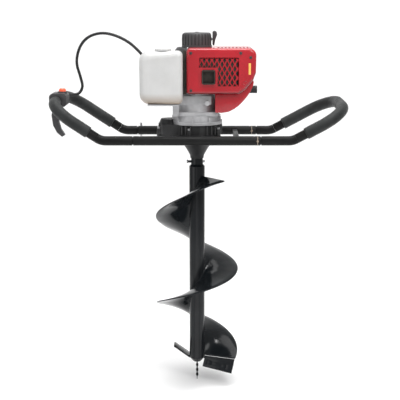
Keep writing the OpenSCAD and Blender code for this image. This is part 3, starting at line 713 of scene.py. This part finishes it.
def shroud_shell():
    """Hollow shroud with its window, its opening to the duct, its slots and its holes."""
    shroud = to_object(shroud_body(0.0, front_y, back_y, ROUND_OUTSIDE), "shroud_block")
    cutters = [to_object(shroud_body(SHELL, front_y + SHELL, back_y - SHELL, ROUND_INSIDE), "cut_hollow")]
    cutters.append(to_object(prism_y(rect(*GRILLE), front_y - 5, front_y + 5), "cut_window"))
    cutters.append(to_object(prism_y(PASSAGE, front_y + 9, back_y - 9), "cut_passage"))
    for k in range(SLOT_COUNT):
        cutters.append(to_object(slot_block(SLOT_FIRST + SLOT_PITCH * k), "cut_slot"))
    for bore in BORES:
        cutters.append(to_object(rod(*bore), "cut_bore"))
    carve(shroud, cutters)
    bm = bmesh.new()
    bm.from_mesh(shroud.data)
    bmesh.ops.scale(bm, vec=Vector((MM, MM, MM)), verts=bm.verts)
    bmesh.ops.remove_doubles(bm, verts=bm.verts, dist=1e-6)
    bpy.data.objects.remove(shroud)
    finish_piece("shroud_shell", bm, "shroud_red", "head", ("shroud",), 38.0)


shroud_shell()

# ---------- grille ----------
CELL_W, CELL_H = 5.9, 10.2         # half width and half height of one diamond
HOLE_W, HOLE_H = 0.68, 0.80        # share of the diamond that is open
CELL_COLUMNS, CELL_ROWS = 18, 9
PLAIN_X, PLAIN_Z = 50, 755         # below and left of these is the exhaust outlet, without lattice
OUTLET = (11, 43, 714, 748)
OUTLET_LIP = 2.5
LATTICE_EDGE = 1.2
FACE, DEPTH = front_y + 0.6, 2.2


def within(value, low, high):
    return min(max(value, low), high)


def lattice_cell(bm, cx, cz):
    """One diamond with a hole, cut off where it would pass the window's edge."""
    x0, x1, z0, z1 = GRILLE
    rim = [(cx + CELL_W, cz), (cx, cz + CELL_H), (cx - CELL_W, cz), (cx, cz - CELL_H)]
    hole = [(cx + (x - cx) * HOLE_W, cz + (z - cz) * HOLE_H) for x, z in rim]
    rim = [(within(x, x0, x1), within(z, z0, z1)) for x, z in rim]
    hole = [(within(x, x0 + LATTICE_EDGE, x1 - LATTICE_EDGE), within(z, z0 + LATTICE_EDGE, z1 - LATTICE_EDGE))
            for x, z in hole]
    layers = ((rim, FACE), (hole, FACE), (hole, FACE + DEPTH), (rim, FACE + DEPTH))
    rings = [head_ring(bm, pts, y) for pts, y in layers]
    for low, high in zip(rings, rings[1:]):
        for k in range(4):
            quad = (low[k], low[(k + 1) % 4], high[(k + 1) % 4], high[k])
            if len({tuple(round(c, 6) for c in v.co) for v in quad}) > 2:
                bm.faces.new(quad)


def grille_lattice():
    """Moulded lattice of tall diamonds around the frame and the raised lip of the exhaust outlet."""
    bm = bmesh.new()
    x0, x1, z0, z1 = GRILLE
    for i in range(CELL_COLUMNS):
        for j in range(CELL_ROWS):
            cx, cz = x0 + CELL_W * i, z0 + CELL_H * j
            if (i + j) % 2 == 0 and not (cx < PLAIN_X and cz < PLAIN_Z):
                lattice_cell(bm, cx, cz)
    bmesh.ops.remove_doubles(bm, verts=bm.verts, dist=WELD)
    bmesh.ops.dissolve_degenerate(bm, dist=WELD, edges=bm.edges)
    left, right, bottom, top = OUTLET
    opening = rect(*OUTLET, 5.0)
    lip = rect(left - OUTLET_LIP, right + OUTLET_LIP, bottom - OUTLET_LIP, top + OUTLET_LIP, 6.5)
    frame_y(bm, rect(x0, PLAIN_X - 2, z0, PLAIN_Z - 2, 2.0), opening, FACE - 0.2, FACE + DEPTH)
    frame_y(bm, lip, opening, FACE - 1.6, FACE + 0.4)
    finish_piece("grille_lattice", bm, "shroud_red", "head", ("mesh_grille", "outlet_collar"), 30.0)


def grille_shade_sheet():
    """Dark sheet behind the lattice: painted shade, standing for the shaded inside of the shroud seen through
    the window.
    """
    x0, x1, z0, z1 = GRILLE
    bm = prism_y(rect(x0 - 1, x1 + 1, z0 - 1, z1 + 1, 4), front_y + 16, front_y + 17)
    # dark plastic sheet so that the holes read dark: painted shade
    finish_piece("grille_shade_sheet", bm, "dark_plastic", "head")


grille_lattice()
grille_shade_sheet()

# ---------- recoil cover ----------
RECOIL_R = (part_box("recoil_housing")[1].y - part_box("recoil_housing")[0].y) / 2 / MM
RECOIL_Z = HEAD_Z + 797 * MM
wall = RECOIL_R - 2.4              # radius of the wall between the ribs
RIBS = 26
ROPE_SIDE = 0.97                   # ribs whose direction has a larger cosine would cover the rope hole
# (head height, how far the rib stands out), then (share of that, distance to the side) around a rib
RIB_ROWS = ((800.5, 2.4), (817, 2.4), (823, 2.1), (826.5, 1.2), (828, 0.0))
RIB_SECTION = ((0, -2.5), (0.7, -2.4), (1, -1.5), (1, 1.5), (0.7, 2.4), (0, 2.5))
RIB_ROOT = 0.6                     # how deep the ribs reach into the wall


def recoil_shell():
    """Cap with a rim and a hole in the middle of its top."""
    bm = bmesh.new()
    lathe(bm, [(wall - 2.4, 0), (RECOIL_R, 0), (RECOIL_R, 3.6), (wall, 4.4), (wall, 28), (wall - 1, 31.4),
               (wall - 4.2, 33.4), (11, 34), (9.5, 32.6), (4, 32.4), (4, 30.8), (wall - 4, 30.6),
               (wall - 2.4, 28)], (0, 0, RECOIL_Z), 64, True)
    finish_piece("recoil_shell", bm, "dark_plastic", "head", ("recoil_housing",), 30.0)


def recoil_ribs():
    """Upright ribs around the cap that thin out towards its top."""
    bm = bmesh.new()
    for i in range(RIBS):
        a = 2 * math.pi * (i + 0.5) / RIBS
        if math.cos(a) > ROPE_SIDE:
            continue
        out, side = Vector((math.cos(a), math.sin(a), 0)), Vector((-math.sin(a), math.cos(a), 0))
        rows = []
        for h, depth in RIB_ROWS:
            up = Vector((0, 0, HEAD_Z + MM * h))
            rows.append([bm.verts.new(out * (MM * (wall - RIB_ROOT + share * (depth + RIB_ROOT)))
                                      + side * (MM * half) + up) for share, half in RIB_SECTION])
        join_rings(bm, rows)
    finish_piece("recoil_ribs", bm, "dark_plastic", "head")


recoil_shell()

# ---------- everything else keeps its CAD shape with rounded edges ----------
SPECIAL = {"fuel_cap": dict(width=0.9), "clutch_housing": dict(width=0.9),
           "throttle_cable": dict(width=0.0, sharp=70.0),
           "throttle_housing": dict(width=1.6), "throttle_lever": dict(width=1.4),
           "starter_handle": dict(width=1.6), "air_cleaner": dict(width=1.0),
           "gearbox_upper": dict(width=0.7), "gearbox_lower": dict(width=0.9), "crankcase": dict(width=0.9)}
redrawn = {n for o in bpy.data.objects for n in o.get("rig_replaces", [])}
for node_name, node in nodes.items():
    if node_name in redrawn:
        continue
    if node_name in HIDDEN:
        paint(node, SLOT_OF[node_name])
        continue
    soften(node_name, **SPECIAL.get(node_name, {}))


# ---------- small details ----------
face = front_y * MM
RING_X, RING_UP, RING_R, RING_THICK = 0.1115, 0.718, 0.0042, 0.0006
SHROUD_SCREWS = ((0.101, 0.786), (0.124, 0.776), (-0.014, 0.700), (-0.014, 0.786))    # x, height above HEAD_Z
RAIL_JOINTS = ((0.141, -1), (0.137, 1))                  # x and which rail: -1 front, 1 rear
JOINT_BAND = ((10.6, -0.9), (11.35, -0.6), (11.35, 0.6), (10.6, 0.9))
FLANGE_SCREWS, FLANGE_R, FLANGE_UP, FLANGE_TURN = 6, 0.0495, 0.637, 40
# the gusset's outline across the flight's lower edge: x and z in millimetres
GUSSET = [(BIT_R + 1, -6), (FLIGHT_R - 3, -6), (FLIGHT_R - 3, 10.5), (BIT_R + 1, 1.5)]
GUSSET_TILT_Y, GUSSET_TILT_X = 7, -24                    # degrees


def plate(name, low, high, slot_name, body, radius):
    """Block with rounded edges between two corners."""
    bm = bmesh.new()
    size = high - low
    bmesh.ops.create_cube(bm, size=1.0)
    for v in bm.verts:
        v.co = Vector((v.co.x * size.x, v.co.y * size.y, v.co.z * size.z))
    bmesh.ops.bevel(bm, geom=bm.edges[:], offset=radius * MM, segments=3, profile=0.5, affect="EDGES")
    bmesh.ops.transform(bm, verts=bm.verts, matrix=Matrix.Translation((low + high) / 2))
    finish_piece(name, bm, slot_name, body)


def bolt(name, at, axis, radius, height, slot_name="steel"):
    """Socket screw head with a washer, standing on a face of the head."""
    bm = bmesh.new()
    lathe(bm, [(radius * 1.35, 0), (radius * 1.35, 0.8), (radius, 0.9), (radius, height - 0.5),
               (radius - 0.5, height), (radius * 0.55, height), (radius * 0.5, height - 1.5)], (0, 0, 0), 20)
    turn = Vector((0, 0, 1)).rotation_difference(Vector(axis)).to_matrix().to_4x4()
    bmesh.ops.transform(bm, verts=bm.verts, matrix=Matrix.Translation(at) @ turn)
    finish_piece(name, bm, slot_name, "head")


def shroud_ring():
    """Ring embossed on the shroud's front."""
    bm = bmesh.new()
    path = [Vector((RING_X + RING_R * math.cos(a), face - 0.0001, HEAD_Z + RING_UP + RING_R * math.sin(a)))
            for a in [2 * math.pi * k / 32 for k in range(33)]]
    sweep(bm, path, 8, lambda t, a: RING_THICK)
    finish_piece("shroud_ring", bm, "shroud_red", "head")


def rail_joint(joint_x, rail_side):
    """Band and button where a handle tube meets its rail, in pale plastic: painted highlight of the shiny
    clip and bolt head there.
    """
    at = Vector((joint_x, rail_side * RAIL_Y, RAIL_Z))
    bm = bmesh.new()
    lathe(bm, JOINT_BAND, (0, 0, 0), 40)
    lie_along_x = Matrix.Rotation(math.pi / 2, 4, "Y")
    bmesh.ops.transform(bm, verts=bm.verts, matrix=Matrix.Translation(at) @ lie_along_x)
    # pale colour on the band and button stands in for the glint on shiny metal: painted highlight
    finish_piece("joint_ring_%d" % rail_side, bm, "tank_white", "head")
    bolt("joint_button_%d" % rail_side, at + Vector((0, -0.0105, 0)), (0, -1, 0), 1.9, 1.6, "tank_white")


def cutter_gusset():
    """Plate that closes the gap between the flight's lower edge and its cutter."""
    edge = Matrix.Translation(Vector((0, 0, MM * rise(FLIGHT_A0))))
    edge = Matrix.Rotation(math.radians(FLIGHT_A0), 4, "Z") @ edge
    edge = edge @ Matrix.Rotation(math.radians(GUSSET_TILT_Y), 4, "Y")
    edge = edge @ Matrix.Rotation(math.radians(GUSSET_TILT_X), 4, "X")
    bm = bmesh.new()
    join_rings(bm, [[bm.verts.new(edge @ (MM * Vector((x, y, z)))) for x, z in GUSSET] for y in (-3.2, -0.4)])
    bmesh.ops.bevel(bm, geom=bm.edges[:], offset=0.4 * MM, segments=2, profile=0.5, affect="EDGES")
    finish_piece("cutter_gusset", bm, "bit_paint", "bit")


shroud_ring()
plate("blank_patch", Vector((0.1195, face - 0.0007, HEAD_Z + 0.737)),
      Vector((0.1247, face + 0.0005, HEAD_Z + 0.763)), "patch_yellow", "head", 0.25)
plate("side_bracket", Vector((-0.0322, -0.066, HEAD_Z + 0.690)),
      Vector((-0.0243, -0.062, HEAD_Z + 0.792)), "muffler_steel", "head", 0.8)
bolt("recoil_nut", Vector((0, 0, HEAD_Z + 0.829)), (0, 0, 1), 5.0, 3.0, "dark_plastic")
bolt("rope_eyelet", Vector((MM * (wall - 1), 0, HEAD_Z + 0.815)), (1, 0, 0), 4.6, 2.6, "black_rubber")
recoil_ribs()
for i, (x, up) in enumerate(SHROUD_SCREWS):
    bolt("shroud_screw_%d" % i, Vector((x, face, HEAD_Z + up)), (0, -1, 0), 2.6, 2.2, "dark_plastic")
for joint in RAIL_JOINTS:
    rail_joint(*joint)
for i in range(FLANGE_SCREWS):
    a = math.radians(FLANGE_TURN + 360 / FLANGE_SCREWS * i)
    at = Vector((FLANGE_R * math.cos(a), FLANGE_R * math.sin(a), HEAD_Z + FLANGE_UP))
    bolt("flange_screw_%d" % i, at, (0, 0, 1), 2.6, 3.0)
cutter_gusset()

# ---------- floor and light ----------
FLOOR_Z = -0.002                   # just under the pilot's tip
FLOOR_HALF_WIDTH = 6.0
SWEEP = [(-4.0, 0.0), (2.0, 0.0), (2.5, 0.06), (2.85, 0.25), (3.05, 0.6), (3.1, 1.1), (3.1, 5.0)]


def studio_floor():
    """Pale floor that curves up into a wall behind the object; SWEEP holds its (y, height) points."""
    pale, _, _, pale_shader = shader("pale_floor")
    pale_shader.inputs["Base Color"].default_value = (0.93, 0.93, 0.93, 1.0)
    pale_shader.inputs["Roughness"].default_value = 0.7
    mesh = bpy.data.meshes.new("floor")
    bm = bmesh.new()
    rows = [[bm.verts.new((x, y, FLOOR_Z + z)) for x in (-FLOOR_HALF_WIDTH, FLOOR_HALF_WIDTH)]
            for y, z in SWEEP]
    for low, high in zip(rows, rows[1:]):
        bm.faces.new((low[0], low[1], high[1], high[0]))
    bm.to_mesh(mesh)
    bm.free()
    for poly in mesh.polygons:
        poly.use_smooth = True
    floor = bpy.data.objects.new("floor", mesh)
    floor.data.materials.append(pale)
    bpy.context.scene.collection.objects.link(floor)


def area_light(name, loc, target, size, power, length=None):
    """Rectangular light of size by size, or of length by size, that points at the target."""
    data = bpy.data.lights.new(name, "AREA")
    data.shape = "RECTANGLE"
    data.size = length or size
    data.size_y = size
    data.energy = power
    obj = bpy.data.objects.new(name, data)
    obj.location = loc
    obj.rotation_euler = (Vector(target) - Vector(loc)).to_track_quat("-Z", "Y").to_euler()
    bpy.context.scene.collection.objects.link(obj)


studio_floor()
area_light("key", (1.3, -2.3, 2.5), (0, 0, 0.5), 1.6, 38)
area_light("fill", (-2.4, -1.8, 1.4), (0, 0, 0.5), 1.8, 15)
area_light("top", (0.0, 0.4, 3.0), (0, 0, 0.5), 2.2, 42)
area_light("strip", (0.2, -0.42, 2.9), (0, 0, 0.7), 0.22, 34, 2.2)
world = bpy.data.worlds.new("studio")
world.use_nodes = True
background = world.node_tree.nodes["Background"]
background.inputs["Color"].default_value = (1.0, 1.0, 1.0, 1.0)
background.inputs["Strength"].default_value = 0.62
bpy.context.scene.world = world
bpy.context.scene.view_settings.view_transform = "Standard"
